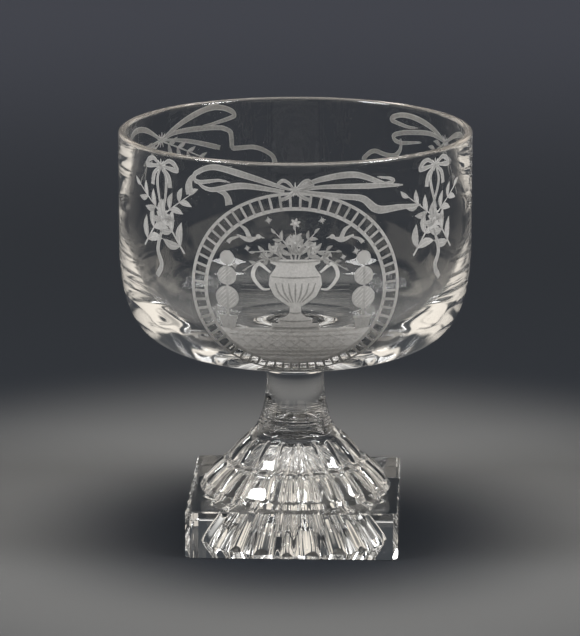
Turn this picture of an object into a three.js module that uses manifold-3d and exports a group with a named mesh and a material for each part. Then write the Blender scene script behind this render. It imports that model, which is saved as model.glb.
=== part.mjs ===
// A clear glass rummer on a square moulded foot, in millimetres, +Z up.
// A blown bowl stands on a short solid stem. A wafer of hot glass welds the stem to a
// moulded foot: a fluted dome in two tiers on a thick square plinth. The foot is hollow
// underneath, and the hollow has radial ribs. The origin is at the centre of the underside.

import * as THREE from 'three';
import { mergeVertices } from 'three/addons/utils/BufferGeometryUtils.js';
import Module from 'manifold-3d';

const wasm = await Module();
wasm.setup();

// Plinth
const PLINTH_WIDTH = 68.9;
const PLINTH_HEIGHT = 15.6;
const PLINTH_CORNER_BEVEL = 1.5;
const PLINTH_EDGE_BEVEL = 0.4;

// Fluted dome
const DOME_BASE_RADIUS = 31.4;
const BASE_BAND_HEIGHT = 1.6;
const BASE_BAND_SETBACK = 0.9;
const LOWER_TIER_HEIGHT = 9.2;
const LOWER_TIER_TOP_RADIUS = 23.2;
const UPPER_TIER_HEIGHT = 8.3;
const UPPER_TIER_BASE_RADIUS = 22;
const UPPER_TIER_TOP_RADIUS = 14.8;
const STEP_RISE = 0.3;
const TIER_FULLNESS = 0.2;
const NECK_HEIGHT = 3.1;

// Flutes, shared by both tiers and by the ribs of the hollow
const FLUTE_COUNT = 18;
const FLUTE_PHASE_DEGREES = -4;
const LOWER_FLUTE_DEPTH = 1;
const UPPER_FLUTE_DEPTH = 0.8;
const FLUTE_CROWN = 0.35;
const RIDGE_SHARPNESS = 6;

// Ribbed hollow under the foot: it flares at its mouth. The pulls are how far the handles of
// its curve reach in and up from the mouth, and out from the axis at the crown.
const HOLLOW_RADIUS = 28.4;
const HOLLOW_DEPTH = 24;
const HOLLOW_MOUTH_PULL_IN = 5.5;
const HOLLOW_MOUTH_PULL_UP = 8.5;
const HOLLOW_CROWN_PULL = 13.6;
const RIB_DEPTH = 2.2;
const CUT_OVERRUN = 1;

// Wafer and stem, and the sweep of their side from the foot up to the waist of the stem
const WAFER_THICKNESS = 4.5;
const STEM_LENGTH = 19;
const STEM_WAIST_RADIUS = 9.4;
const SWEEP_FOOT_DEGREES = 44;
const SWEEP_FOOT_PULL = 4;
const SWEEP_WAIST_PULL = 10.5;
const STEM_FLARE_HEIGHT = 6;
const STEM_TOP_RADIUS = 22;

// Bowl
const RIM_DIAMETER = 115;
const BOWL_HEIGHT = 75.4;
const OUTER_STRAIGHT_HEIGHT = 36.6;
const INNER_STRAIGHT_HEIGHT = 28;
const WALL_THICKNESS = 2.6;
const BOTTOM_THICKNESS = 7.5;
const BOTTOM_RISE = 4.8;

// How full each curve of the bowl is: the pull of its handles, from 0, a straight line, to 1
const OUTER_SIDE_FULLNESS = 0.94;
const OUTER_BOTTOM_FULLNESS = 0.55;
const INNER_SIDE_FULLNESS = 0.97;
const INNER_BOTTOM_FULLNESS = 0.7;

// Facets
const BOWL_SEGMENTS = 72;
const STEM_SEGMENTS = 48;
const FLUTE_STEPS = 6;
const BOWL_CURVE_STEPS = 16;
const RIM_STEPS = 6;
const TIER_STEPS = 7;
const NECK_STEPS = 3;
const WAFER_STEPS = 4;
const WAIST_STEPS = 6;
const FLARE_STEPS = 6;
const HOLLOW_STEPS = 9;

// Heights at which the tiers and the pieces meet
const stepHeight = PLINTH_HEIGHT + LOWER_TIER_HEIGHT;
const neckBase = stepHeight + STEP_RISE + UPPER_TIER_HEIGHT;
const domeTop = neckBase + NECK_HEIGHT;
const waferTop = domeTop + WAFER_THICKNESS;
const stemTop = waferTop + STEM_LENGTH;
const rimTop = stemTop + BOWL_HEIGHT;
const rimRadius = RIM_DIAMETER / 2;

const point = (radius, height) => new THREE.Vector2(radius, height);

// Clear glass, faintly grey
const glass = () => new THREE.MeshStandardMaterial({
  color: 0xdfe3e2,
  roughness: 0.05,
  metalness: 0,
});

// A body of revolution about Z, from a profile that starts and ends on the axis or closes
function turned(profile, segments) {
  const geometry = new THREE.LatheGeometry(profile, segments);
  geometry.rotateX(Math.PI / 2);
  return geometry;
}

// The same with flutes: depthAt gives how far each profile point sinks along its normal in
// the middle of a flute. A flute is nearly flat across, with a narrow ridge on each side.
function fluted(profile, depthAt) {
  const segments = FLUTE_COUNT * FLUTE_STEPS;
  const geometry = new THREE.LatheGeometry(profile, segments);
  const position = geometry.attributes.position;
  const normal = geometry.attributes.normal;
  for (let i = 0; i <= segments; i += 1) {
    const across = Math.abs(2 * ((i / FLUTE_STEPS) % 1) - 1);
    for (let j = 0; j < profile.length; j += 1) {
      const index = i * profile.length + j;
      const depth = depthAt(j, across);
      position.setXYZ(
        index,
        position.getX(index) - normal.getX(index) * depth,
        position.getY(index) - normal.getY(index) * depth,
        position.getZ(index) - normal.getZ(index) * depth,
      );
    }
  }
  geometry.rotateX(Math.PI / 2);
  geometry.rotateZ(THREE.MathUtils.degToRad(FLUTE_PHASE_DEGREES + 180 / FLUTE_COUNT));
  return geometry;
}

// The section of one flute: full depth in the middle, none at its ridges and rounded ends
function fluteSection(across, along) {
  const crown = FLUTE_CROWN * across ** 2;
  const ridge = (1 - FLUTE_CROWN) * across ** RIDGE_SHARPNESS;
  const end = Math.abs(2 * along - 1) ** RIDGE_SHARPNESS;
  return Math.max(0, 1 - crown - ridge - end);
}

// A round shoulder, upright at its foot and level at its top: fullness 0 is a straight slope
// and 1 a square corner
function shoulder(footRadius, footHeight, topRadius, topHeight, fullness) {
  return new THREE.CubicBezierCurve(
    point(footRadius, footHeight),
    point(footRadius, footHeight + (topHeight - footHeight) * fullness),
    point(topRadius + (footRadius - topRadius) * fullness, topHeight),
    point(topRadius, topHeight),
  );
}

// The side of the glass from the top of the flutes up to the waist of the stem. The dome's
// neck, the wafer and the stem each take their own stretch of it.
const waistHeight = stemTop - STEM_FLARE_HEIGHT;
const footAngle = THREE.MathUtils.degToRad(SWEEP_FOOT_DEGREES);
const sweep = new THREE.CubicBezierCurve(
  point(UPPER_TIER_TOP_RADIUS, neckBase),
  point(
    UPPER_TIER_TOP_RADIUS - SWEEP_FOOT_PULL * Math.cos(footAngle),
    neckBase + SWEEP_FOOT_PULL * Math.sin(footAngle),
  ),
  point(STEM_WAIST_RADIUS, waistHeight - SWEEP_WAIST_PULL),
  point(STEM_WAIST_RADIUS, waistHeight),
);

// Points of the sweep at even steps of height, found by halving
function sweepBetween(low, high, steps) {
  const points = [];
  for (let i = 0; i <= steps; i += 1) {
    const height = low + ((high - low) * i) / steps;
    let below = 0;
    let above = 1;
    for (let halving = 0; halving < 40; halving += 1) {
      const middle = (below + above) / 2;
      if (sweep.getPoint(middle).y < height) {
        below = middle;
      } else {
        above = middle;
      }
    }
    points.push(point(sweep.getPoint(above).x, height));
  }
  return points;
}

// A closed solid for joining and cutting, from a closed geometry
function toSolid(geometry) {
  const bare = geometry.clone();
  bare.deleteAttribute('normal');
  bare.deleteAttribute('uv');
  const merged = mergeVertices(bare);
  return new wasm.Manifold(new wasm.Mesh({
    numProp: 3,
    vertProperties: new Float32Array(merged.attributes.position.array),
    triVerts: new Uint32Array(merged.index.array),
  }));
}

function toGeometry(solid) {
  const mesh = solid.getMesh();
  const geometry = new THREE.BufferGeometry();
  geometry.setAttribute('position', new THREE.BufferAttribute(mesh.vertProperties, 3));
  geometry.setIndex(new THREE.BufferAttribute(mesh.triVerts, 1));
  geometry.computeVertexNormals();
  return geometry;
}

function addPiece(group, name, geometry) {
  const mesh = new THREE.Mesh(geometry, glass());
  mesh.name = name;
  group.add(mesh);
}

// The ribbed hollow, from below the resting face up into the dome
function hollowSolid() {
  const wall = new THREE.CubicBezierCurve(
    point(HOLLOW_RADIUS, 0),
    point(HOLLOW_RADIUS - HOLLOW_MOUTH_PULL_IN, HOLLOW_MOUTH_PULL_UP),
    point(HOLLOW_CROWN_PULL, HOLLOW_DEPTH),
    point(0, HOLLOW_DEPTH),
  );
  const profile = [
    point(0, -CUT_OVERRUN),
    point(HOLLOW_RADIUS, -CUT_OVERRUN),
    ...wall.getPoints(HOLLOW_STEPS),
  ];
  const depthAt = (j, across) => {
    const share = profile[j].x / HOLLOW_RADIUS;
    return -RIB_DEPTH * share * (1 + Math.cos(Math.PI * across)) / 2;
  };
  return toSolid(fluted(profile, depthAt));
}

// The square plinth, its upright corners and its edges ground off
function plinthSolid() {
  const half = PLINTH_WIDTH / 2 - PLINTH_EDGE_BEVEL;
  const corner = half - PLINTH_CORNER_BEVEL;
  const outline = new THREE.Shape([
    point(corner, -half), point(half, -corner), point(half, corner), point(corner, half),
    point(-corner, half), point(-half, corner), point(-half, -corner), point(-corner, -half),
  ]);
  const geometry = new THREE.ExtrudeGeometry(outline, {
    depth: PLINTH_HEIGHT - 2 * PLINTH_EDGE_BEVEL,
    bevelThickness: PLINTH_EDGE_BEVEL,
    bevelSize: PLINTH_EDGE_BEVEL,
    bevelSegments: 1,
  });
  geometry.translate(0, 0, PLINTH_EDGE_BEVEL);
  return toSolid(geometry);
}

// The dome: a plain band, a tier of flutes, a step, a second tier and a smooth neck
function domeSolid() {
  const lower = shoulder(
    DOME_BASE_RADIUS - BASE_BAND_SETBACK, PLINTH_HEIGHT + BASE_BAND_HEIGHT,
    LOWER_TIER_TOP_RADIUS, stepHeight, TIER_FULLNESS,
  ).getPoints(TIER_STEPS);
  const upper = shoulder(
    UPPER_TIER_BASE_RADIUS, stepHeight + STEP_RISE,
    UPPER_TIER_TOP_RADIUS, neckBase, TIER_FULLNESS,
  ).getPoints(TIER_STEPS);
  const foot = [point(0, PLINTH_HEIGHT), point(DOME_BASE_RADIUS, PLINTH_HEIGHT)];
  const neck = sweepBetween(neckBase, domeTop, NECK_STEPS).slice(1);
  const profile = [...foot, ...lower, ...upper, ...neck, point(0, domeTop)];
  const depthAt = (j, across) => {
    const onLower = (j - foot.length) / TIER_STEPS;
    const onUpper = (j - foot.length - lower.length) / TIER_STEPS;
    if (onLower >= 0 && onLower <= 1) {
      return LOWER_FLUTE_DEPTH * fluteSection(across, onLower);
    }
    if (onUpper >= 0 && onUpper <= 1) {
      return UPPER_FLUTE_DEPTH * fluteSection(across, onUpper);
    }
    return 0;
  };
  return toSolid(fluted(profile, depthAt));
}

// The wafer: a low disc of glass whose side carries on the foot's sweep into the stem
function waferGeometry() {
  const side = sweepBetween(domeTop, waferTop, WAFER_STEPS);
  return turned([point(0, domeTop), ...side, point(0, waferTop)], STEM_SEGMENTS);
}

// The stem: solid, waisted, and flared where it was dropped on to the bowl
function stemGeometry() {
  const waist = sweepBetween(waferTop, waistHeight, WAIST_STEPS);
  const flare = new THREE.QuadraticBezierCurve(
    point(STEM_WAIST_RADIUS, waistHeight),
    point(STEM_WAIST_RADIUS, stemTop),
    point(STEM_TOP_RADIUS, stemTop),
  ).getPoints(FLARE_STEPS).slice(1);
  return turned([point(0, waferTop), ...waist, ...flare, point(0, stemTop)], STEM_SEGMENTS);
}

// The bowl: an upright wall on a full round bottom, open at the top, with a rounded rim. The
// wall is thin at the rim and the glass gathers in the bottom.
function bowlGeometry() {
  const outerEnd = rimTop - OUTER_STRAIGHT_HEIGHT;
  const innerEnd = rimTop - INNER_STRAIGHT_HEIGHT;
  const innerRadius = rimRadius - WALL_THICKNESS;
  const floorHeight = stemTop + BOTTOM_THICKNESS;
  const bottomReach = (rimRadius - STEM_TOP_RADIUS) * OUTER_BOTTOM_FULLNESS;
  const outer = new THREE.CubicBezierCurve(
    point(STEM_TOP_RADIUS, stemTop),
    point(STEM_TOP_RADIUS + bottomReach, stemTop + BOTTOM_RISE),
    point(rimRadius, outerEnd - (outerEnd - stemTop) * OUTER_SIDE_FULLNESS),
    point(rimRadius, outerEnd),
  );
  const inner = new THREE.CubicBezierCurve(
    point(innerRadius, innerEnd),
    point(innerRadius, innerEnd - (innerEnd - floorHeight) * INNER_SIDE_FULLNESS),
    point(innerRadius * INNER_BOTTOM_FULLNESS, floorHeight),
    point(0, floorHeight),
  );
  const lip = WALL_THICKNESS / 2;
  const rim = [];
  for (let i = 0; i <= RIM_STEPS; i += 1) {
    const turn = (Math.PI * i) / RIM_STEPS;
    rim.push(point(rimRadius - lip + lip * Math.cos(turn), rimTop - lip + lip * Math.sin(turn)));
  }
  const profile = [
    point(0, stemTop),
    ...outer.getPoints(BOWL_CURVE_STEPS),
    ...rim,
    ...inner.getPoints(BOWL_CURVE_STEPS),
  ];
  return turned(profile, BOWL_SEGMENTS);
}

const hollow = hollowSolid();
const group = new THREE.Group();
addPiece(group, 'square_plinth', toGeometry(plinthSolid().subtract(hollow)));
addPiece(group, 'fluted_dome', toGeometry(domeSolid().subtract(hollow)));
addPiece(group, 'join_wafer', waferGeometry());
addPiece(group, 'stem', stemGeometry());
addPiece(group, 'bowl', bowlGeometry());

export default group;
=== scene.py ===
# %% [markdown]
# # A rummer in clear glass
#
# A rummer is a wide drinking glass on a short stem. This one has a blown bowl with a matt
# engraved decoration, and a heavy foot that was pressed in a mould: a fluted dome in two tiers
# on a square plinth, hollow underneath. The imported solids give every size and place. This
# notebook builds a finer piece over each of them and gives it its glass.

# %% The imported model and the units
import itertools
import math

import bmesh
import bpy
from mathutils import Matrix, Vector
from mathutils.geometry import interpolate_bezier


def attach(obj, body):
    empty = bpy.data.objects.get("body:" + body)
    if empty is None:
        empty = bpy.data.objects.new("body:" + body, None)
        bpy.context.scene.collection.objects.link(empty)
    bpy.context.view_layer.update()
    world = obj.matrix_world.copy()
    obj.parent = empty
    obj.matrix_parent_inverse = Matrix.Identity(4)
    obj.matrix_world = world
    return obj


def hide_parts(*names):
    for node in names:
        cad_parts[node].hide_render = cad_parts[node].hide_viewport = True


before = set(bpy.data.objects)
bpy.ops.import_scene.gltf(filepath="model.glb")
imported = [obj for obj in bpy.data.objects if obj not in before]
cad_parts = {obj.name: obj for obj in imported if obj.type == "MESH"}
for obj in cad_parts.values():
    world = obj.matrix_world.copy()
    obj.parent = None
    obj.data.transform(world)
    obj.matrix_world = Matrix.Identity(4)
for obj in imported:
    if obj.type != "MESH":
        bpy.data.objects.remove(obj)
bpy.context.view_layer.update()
MM = 0.001
print("packed nodes:", ", ".join(sorted(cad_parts)))

# %% [markdown]
# ## Sizes
#
# These are the sizes of the part's own solids, in millimetres, with the axis of the glass on Z
# and the plinth's underside at height 0. Heights are worked out from the bottom up, so the
# pieces meet exactly.

# %% Sizes of the foot
PLINTH_WIDTH = 68.9
PLINTH_HEIGHT = 15.6
PLINTH_CORNER_BEVEL = 1.5
PLINTH_EDGE_BEVEL = 0.4
DOME_BASE_RADIUS = 31.4
BASE_BAND_HEIGHT = 1.6
BASE_BAND_SETBACK = 0.9
LOWER_TIER_HEIGHT = 9.2
LOWER_TIER_TOP_RADIUS = 23.2
UPPER_TIER_HEIGHT = 8.3
UPPER_TIER_BASE_RADIUS = 22.0
UPPER_TIER_TOP_RADIUS = 14.8
STEP_RISE = 0.3
TIER_FULLNESS = 0.2
NECK_HEIGHT = 3.1
HOLLOW_RADIUS = 28.4
HOLLOW_DEPTH = 24.0
HOLLOW_MOUTH_PULL = (5.5, 8.5)
HOLLOW_CROWN_PULL = 13.6
step_height = PLINTH_HEIGHT + LOWER_TIER_HEIGHT
neck_base = step_height + STEP_RISE + UPPER_TIER_HEIGHT
dome_top = neck_base + NECK_HEIGHT
print(f"foot: step at {step_height:.1f} mm, top at {dome_top:.1f} mm")

# %% Sizes of the wafer, the stem and the bowl
WAFER_THICKNESS = 4.5
STEM_LENGTH = 19.0
STEM_WAIST_RADIUS = 9.4
SWEEP_FOOT_DEGREES = 44
SWEEP_FOOT_PULL = 4.0
SWEEP_WAIST_PULL = 10.5
STEM_FLARE_HEIGHT = 6.0
STEM_TOP_RADIUS = 22.0
RIM_RADIUS = 57.5
BOWL_HEIGHT = 75.4
OUTER_STRAIGHT_HEIGHT = 36.6
INNER_STRAIGHT_HEIGHT = 28.0
WALL_THICKNESS = 2.6
BOTTOM_THICKNESS = 7.5
BOTTOM_RISE = 4.8
OUTER_SIDE_FULLNESS = 0.94
OUTER_BOTTOM_FULLNESS = 0.55
INNER_SIDE_FULLNESS = 0.97
INNER_BOTTOM_FULLNESS = 0.7
wafer_top = dome_top + WAFER_THICKNESS
stem_top = wafer_top + STEM_LENGTH
rim_top = stem_top + BOWL_HEIGHT
print(f"stem: {wafer_top:.1f} to {stem_top:.1f} mm, rim at {rim_top:.1f} mm")

# %% [markdown]
# ## The camera
#
# The camera stands about as far off, as high and as much to one side as the photographer's did,
# with a long lens, so the rim and the plinth show nearly the same ellipse and perspective. A
# small shift puts the glass where it stands in the frame. The view transform is Standard, at
# which a colour comes out about as it is written.

# %% Camera
CAMERA_AZIMUTH = math.radians(2.2)
CAMERA_DISTANCE = 1.278
CAMERA_HEIGHT = 0.382
CAMERA_PITCH = math.radians(13.63)
CAMERA_LENS = 226.9
CAMERA_SHIFT = -0.0084
camera_data = bpy.data.cameras.new("camera")
camera_data.lens = CAMERA_LENS
camera_data.shift_x = CAMERA_SHIFT
camera = bpy.data.objects.new("camera", camera_data)
camera.location = (
    CAMERA_DISTANCE * math.sin(CAMERA_AZIMUTH),
    -CAMERA_DISTANCE * math.cos(CAMERA_AZIMUTH),
    CAMERA_HEIGHT,
)
camera.rotation_euler = (math.pi / 2 - CAMERA_PITCH, 0, CAMERA_AZIMUTH)
bpy.context.scene.collection.objects.link(camera)
bpy.context.scene.camera = camera
print(f"camera: {camera_data.lens:.0f} mm lens at {camera.location.length:.2f} m")

# %% View
view = bpy.context.scene.view_settings
view.view_transform = "Standard"
print("view transform:", view.view_transform)

# %% [markdown]
# ## Light, floor and surround
#
# Clear glass has no colour of its own: it shows what stands round it. Two softboxes, left and
# right, give the bright rectangles in the flutes and the streaks on the rim. The surround is a
# plain slate grey, so the engraving reads pale against it. Overhead is a bright white ceiling,
# which lights the ridges of the foot, and low down at the sides and in front is a cream wall
# with gaps in it, which the thick curve of the bowl gathers into a warm bright band. The floor's
# colour paints a pool of light: it is pale in a wide ring round the foot and fades into the slate
# of the surround further out. Close to the foot it is painted slate, a painted contact shadow.
# Under the hollow it is pale again, and that shows through the clear edge of the plinth.
#
# Light goes round and round inside the wall of the bowl before it leaves. With too few bounces
# those paths are cut off, and the edge of the bowl shows black blocks.

# %% Light paths: glass needs many bounces
paths = bpy.context.scene.cycles
LIGHT_BOUNCES = 64
paths.max_bounces = LIGHT_BOUNCES
paths.transmission_bounces = LIGHT_BOUNCES
paths.glossy_bounces = LIGHT_BOUNCES
print("bounces:", paths.max_bounces)

# %% Softboxes
SOFTBOX_DISTANCE = 1.5
SOFTBOX_AZIMUTH = math.radians(70)
SOFTBOX_ELEVATION = math.radians(50)
SOFTBOX_SIZE = (0.42, 0.44)
SOFTBOX_WATTS = 15.5


def softbox(name, place):
    """A white rectangular light at a place, turned to face the middle of the glass."""
    data = bpy.data.lights.new(name, "AREA")
    data.shape = "RECTANGLE"
    data.size, data.size_y = SOFTBOX_SIZE
    data.energy = SOFTBOX_WATTS
    light = bpy.data.objects.new(name, data)
    light.location = place
    aim = Vector((0, 0, rim_top / 2 * MM)) - light.location
    light.rotation_euler = aim.to_track_quat("-Z", "Y").to_euler()
    light.visible_camera = False
    bpy.context.scene.collection.objects.link(light)


for side, name in ((-1, "softbox_left"), (1, "softbox_right")):
    azimuth = CAMERA_AZIMUTH + side * SOFTBOX_AZIMUTH
    level = SOFTBOX_DISTANCE * math.cos(SOFTBOX_ELEVATION)
    place = (
        level * math.sin(azimuth),
        -level * math.cos(azimuth),
        SOFTBOX_DISTANCE * math.sin(SOFTBOX_ELEVATION),
    )
    softbox(name, place)

# %% The floor, a hair below the plinth
FLOOR_RADIUS = 3.0
FLOOR_SIDES = 96
FLOOR_GAP = 0.00005
floor_bm = bmesh.new()
bmesh.ops.create_circle(floor_bm, cap_ends=True, segments=FLOOR_SIDES, radius=FLOOR_RADIUS)
bmesh.ops.translate(floor_bm, verts=floor_bm.verts, vec=(0, 0, -FLOOR_GAP))
floor_mesh = bpy.data.meshes.new("floor")
floor_bm.to_mesh(floor_mesh)
floor_bm.free()
floor = bpy.data.objects.new("floor", floor_mesh)
bpy.context.scene.collection.objects.link(floor)
print("floor:", FLOOR_RADIUS, "m in radius")


# %% Helpers: nodes and materials
def add_node(tree, kind, **values):
    """A node of one kind, with some of its inputs or settings given by name."""
    node = tree.nodes.new(kind)
    for name, value in values.items():
        socket = node.inputs.get(name.replace("_", " "))
        if socket is None:
            setattr(node, name, value)
        else:
            socket.default_value = value
    return node


def new_material(name):
    """A material, its node tree and the Principled BSDF in it."""
    material = bpy.data.materials.new(name)
    material.use_nodes = True
    tree = material.node_tree
    return material, tree, tree.nodes["Principled BSDF"]


print("helpers: add_node, new_material")

# %% Helpers: ramps, products and blends
MIX_A, MIX_B, MIX_RESULT = 6, 7, 2


def ramp(tree, source, start, end, low=0.0, high=1.0):
    """A value that goes smoothly from low to high as the source goes from start to end."""
    node = add_node(tree, "ShaderNodeMapRange", interpolation_type="SMOOTHERSTEP")
    for name, value in (("From Min", start), ("From Max", end), ("To Min", low), ("To Max", high)):
        node.inputs[name].default_value = value
    tree.links.new(source, node.inputs["Value"])
    return node.outputs["Result"]


def times(tree, a, b):
    """The product of two values."""
    node = add_node(tree, "ShaderNodeMath", operation="MULTIPLY")
    tree.links.new(a, node.inputs[0])
    tree.links.new(b, node.inputs[1])
    return node.outputs["Value"]


def blend(tree, factor, colour_a, colour_b):
    """A mix of two colours. A Mix node's colour sockets share their names with its other
    sockets, so they are found by number."""
    node = add_node(tree, "ShaderNodeMix", data_type="RGBA")
    tree.links.new(factor, node.inputs["Factor"])
    for index, colour in ((MIX_A, colour_a), (MIX_B, colour_b)):
        if isinstance(colour, tuple):
            node.inputs[index].default_value = colour
        else:
            tree.links.new(colour, node.inputs[index])
    return node.outputs[MIX_RESULT]


print("helpers: ramp, times, blend")

# %% Slate surround, a cream wall with gaps and a bright ceiling
SLATE = (0.053, 0.059, 0.066, 1)
CEILING = (1.2, 1.18, 1.14, 1)
CEILING_RISE = (0.62, 0.92)
WALL = (1.0, 0.93, 0.83, 1)
WALL_FOOT = (-0.03, 0.02)
WALL_HEAD = (0.36, 0.48)
WALL_GAP = (0.88, 0.96)
WALL_FRONT = (-0.8, -0.5)
WALL_FRONT_SHARE = 0.9
WALL_PATCHES = 2.6
WALL_STRETCH = (1.0, 1.0, 0.35)
WALL_COVER = (0.38, 0.52)
world = bpy.data.worlds.new("surround")
world.use_nodes = True
tree = world.node_tree
direction = add_node(tree, "ShaderNodeTexCoord")
split = add_node(tree, "ShaderNodeSeparateXYZ")
tree.links.new(direction.outputs["Generated"], split.inputs["Vector"])
height = split.outputs["Z"]
wall = times(tree, ramp(tree, height, *WALL_FOOT), ramp(tree, height, *WALL_HEAD, 1.0, 0.0))
wall = times(tree, wall, ramp(tree, split.outputs["Y"], *WALL_GAP, 1.0, 0.0))
wall = times(tree, wall, ramp(tree, split.outputs["Y"], *WALL_FRONT, WALL_FRONT_SHARE))
stretched = add_node(tree, "ShaderNodeMapping")
stretched.inputs["Scale"].default_value = WALL_STRETCH
patches = add_node(tree, "ShaderNodeTexNoise", Scale=WALL_PATCHES, Detail=2.0)
tree.links.new(direction.outputs["Generated"], stretched.inputs["Vector"])
tree.links.new(stretched.outputs["Vector"], patches.inputs["Vector"])
wall = times(tree, wall, ramp(tree, patches.outputs["Fac"], *WALL_COVER))
sky = blend(tree, ramp(tree, height, *CEILING_RISE), SLATE, CEILING)
tree.links.new(blend(tree, wall, sky, WALL), tree.nodes["Background"].inputs["Color"])
bpy.context.scene.world = world
print("surround:", SLATE[:3], "wall:", WALL[:3], "ceiling:", CEILING[:3])

# %% Floor material: pale under the hollow, a painted contact shadow by the foot, a painted pool of light in a pale ring, and slate further out
FLOOR_PALE = (0.105, 0.105, 0.105, 1)
# Slate: the painted contact shadow by the foot, and the near end of the slate further out.
FLOOR_SLATE_AND_PAINTED_SHADOW = (0.0135, 0.016, 0.0205, 1)
FLOOR_PALER = (0.049, 0.053, 0.069, 1)
FLOOR_HOLLOW_END = (0.026, 0.036)
FLOOR_SHADE_END = (0.03, 0.115)
FLOOR_LIGHT_POOL_END = (0.1, 0.24)
FLOOR_FAR = (0.3, 1.3)
FLOOR_ROUGHNESS = 0.9
FLOOR_SPECULAR = 0.1
floor_material, tree, shader = new_material("pale_floor")
where = add_node(tree, "ShaderNodeTexCoord")
radius = add_node(tree, "ShaderNodeVectorMath", operation="LENGTH")
tree.links.new(where.outputs["Object"], radius.inputs[0])
out = radius.outputs["Value"]
# Painted contact shadow: slate close to the foot, which stops at the edge of the hollow.
shade = ramp(tree, out, *FLOOR_SHADE_END, 1.0, 0.0)
shade = times(tree, shade, ramp(tree, out, *FLOOR_HOLLOW_END))
# Painted pool of light: the pale ring round the foot, which fades to slate further out.
light_pool_fade = ramp(tree, out, *FLOOR_LIGHT_POOL_END)
far = blend(tree, ramp(tree, out, *FLOOR_FAR), FLOOR_SLATE_AND_PAINTED_SHADOW, FLOOR_PALER)
ring = blend(tree, light_pool_fade, FLOOR_PALE, far)
tree.links.new(blend(tree, shade, ring, FLOOR_SLATE_AND_PAINTED_SHADOW), shader.inputs["Base Color"])
shader.inputs["Roughness"].default_value = FLOOR_ROUGHNESS
shader.inputs["Specular IOR Level"].default_value = FLOOR_SPECULAR
floor_mesh.materials.append(floor_material)
print("floor: palest at", FLOOR_LIGHT_POOL_END[0], "m, slate from", FLOOR_LIGHT_POOL_END[1], "m")

# %% [markdown]
# ## The glass
#
# The bowl, the stem, the wafer and the foot were joined while the glass was soft, so light
# passes from one into the next without a mirror between them. Each piece here is a closed body
# of its own, and the faces where two pieces meet take a second material that is fully clear.
# Every other face is polished glass: full transmission, the refraction of soda glass, a faint
# warm tint, and a very low bump, because blown and fire-polished glass is never quite even.


# %% A shared effect: the soft unevenness of hot-worked glass
def uneven_glass_group():
    """A node group that puts out a tint and a height which vary softly over the glass."""
    group = bpy.data.node_groups.new("uneven_glass", "ShaderNodeTree")
    face = group.interface
    face.new_socket(name="Ripple Size", in_out="INPUT", socket_type="NodeSocketFloat")
    face.new_socket(name="Tint Low", in_out="INPUT", socket_type="NodeSocketColor")
    face.new_socket(name="Tint High", in_out="INPUT", socket_type="NodeSocketColor")
    face.new_socket(name="Tint", in_out="OUTPUT", socket_type="NodeSocketColor")
    face.new_socket(name="Height", in_out="OUTPUT", socket_type="NodeSocketFloat")
    entry = group.nodes.new("NodeGroupInput")
    leave = group.nodes.new("NodeGroupOutput")
    where = group.nodes.new("ShaderNodeTexCoord")
    ripple = add_node(group, "ShaderNodeTexNoise", Detail=2.0, Roughness=0.45)
    cloud = add_node(group, "ShaderNodeTexNoise", Scale=60.0, Detail=1.0)
    tint = blend(group, cloud.outputs["Fac"], entry.outputs["Tint Low"], entry.outputs["Tint High"])
    link = group.links.new
    link(where.outputs["Object"], ripple.inputs["Vector"])
    link(where.outputs["Object"], cloud.inputs["Vector"])
    link(entry.outputs["Ripple Size"], ripple.inputs["Scale"])
    link(tint, leave.inputs["Tint"])
    link(ripple.outputs["Fac"], leave.inputs["Height"])
    return group


uneven_glass = uneven_glass_group()
print("shared effect:", uneven_glass.name)

# %% Polished glass
GLASS_IOR = 1.52


def glass_material(name, ripple_scale, ripple_height, tint_low, tint_high):
    """Clear glass whose surface ripples softly, with a tint between two near-white colours."""
    material, tree, shader = new_material(name)
    effect = add_node(tree, "ShaderNodeGroup", node_tree=uneven_glass)
    effect.inputs["Ripple Size"].default_value = ripple_scale
    effect.inputs["Tint Low"].default_value = tint_low
    effect.inputs["Tint High"].default_value = tint_high
    bump = add_node(tree, "ShaderNodeBump", Strength=1.0, Distance=ripple_height)
    tree.links.new(effect.outputs["Height"], bump.inputs["Height"])
    tree.links.new(bump.outputs["Normal"], shader.inputs["Normal"])
    tree.links.new(effect.outputs["Tint"], shader.inputs["Base Color"])
    shader.inputs["Roughness"].default_value = 0.0
    shader.inputs["IOR"].default_value = GLASS_IOR
    shader.inputs["Transmission Weight"].default_value = 1.0
    return material


blown_glass = glass_material(
    "blown_glass",
    ripple_scale=45.0,
    ripple_height=0.00003,
    tint_low=(0.985, 0.98, 0.965, 1),
    tint_high=(0.995, 0.995, 0.99, 1),
)
moulded_glass = glass_material(
    "moulded_glass",
    ripple_scale=110.0,
    ripple_height=0.00001,
    tint_low=(0.98, 0.98, 0.97, 1),
    tint_high=(0.995, 0.995, 0.99, 1),
)
print("glass:", blown_glass.name, moulded_glass.name, "IOR", GLASS_IOR)

# %% The lip: long use has left the rim faintly matt, and its warm tint is a painted warm reflection
LIP_ROUGHNESS = 0.08
LIP_CLEARNESS = 0.95
matt_lip_painted_reflection = glass_material(
    "matt_lip_painted_reflection",
    ripple_scale=300.0,
    ripple_height=0.00004,
    # The warm tint paints the warm reflection that the rim shows.
    tint_low=(0.80, 0.70, 0.61, 1),
    tint_high=(0.94, 0.87, 0.79, 1),
)
shader = matt_lip_painted_reflection.node_tree.nodes["Principled BSDF"]
shader.inputs["Roughness"].default_value = LIP_ROUGHNESS
shader.inputs["Transmission Weight"].default_value = LIP_CLEARNESS
print("rim:", matt_lip_painted_reflection.name)

# %% The clear faces where two pieces are welded
weld_seat, tree, shader = new_material("weld_seat")
shader.inputs["Base Color"].default_value = (1, 1, 1, 1)
shader.inputs["Alpha"].default_value = 0.0
shader.inputs["IOR"].default_value = 1.0
print("weld faces:", weld_seat.name)

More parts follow.
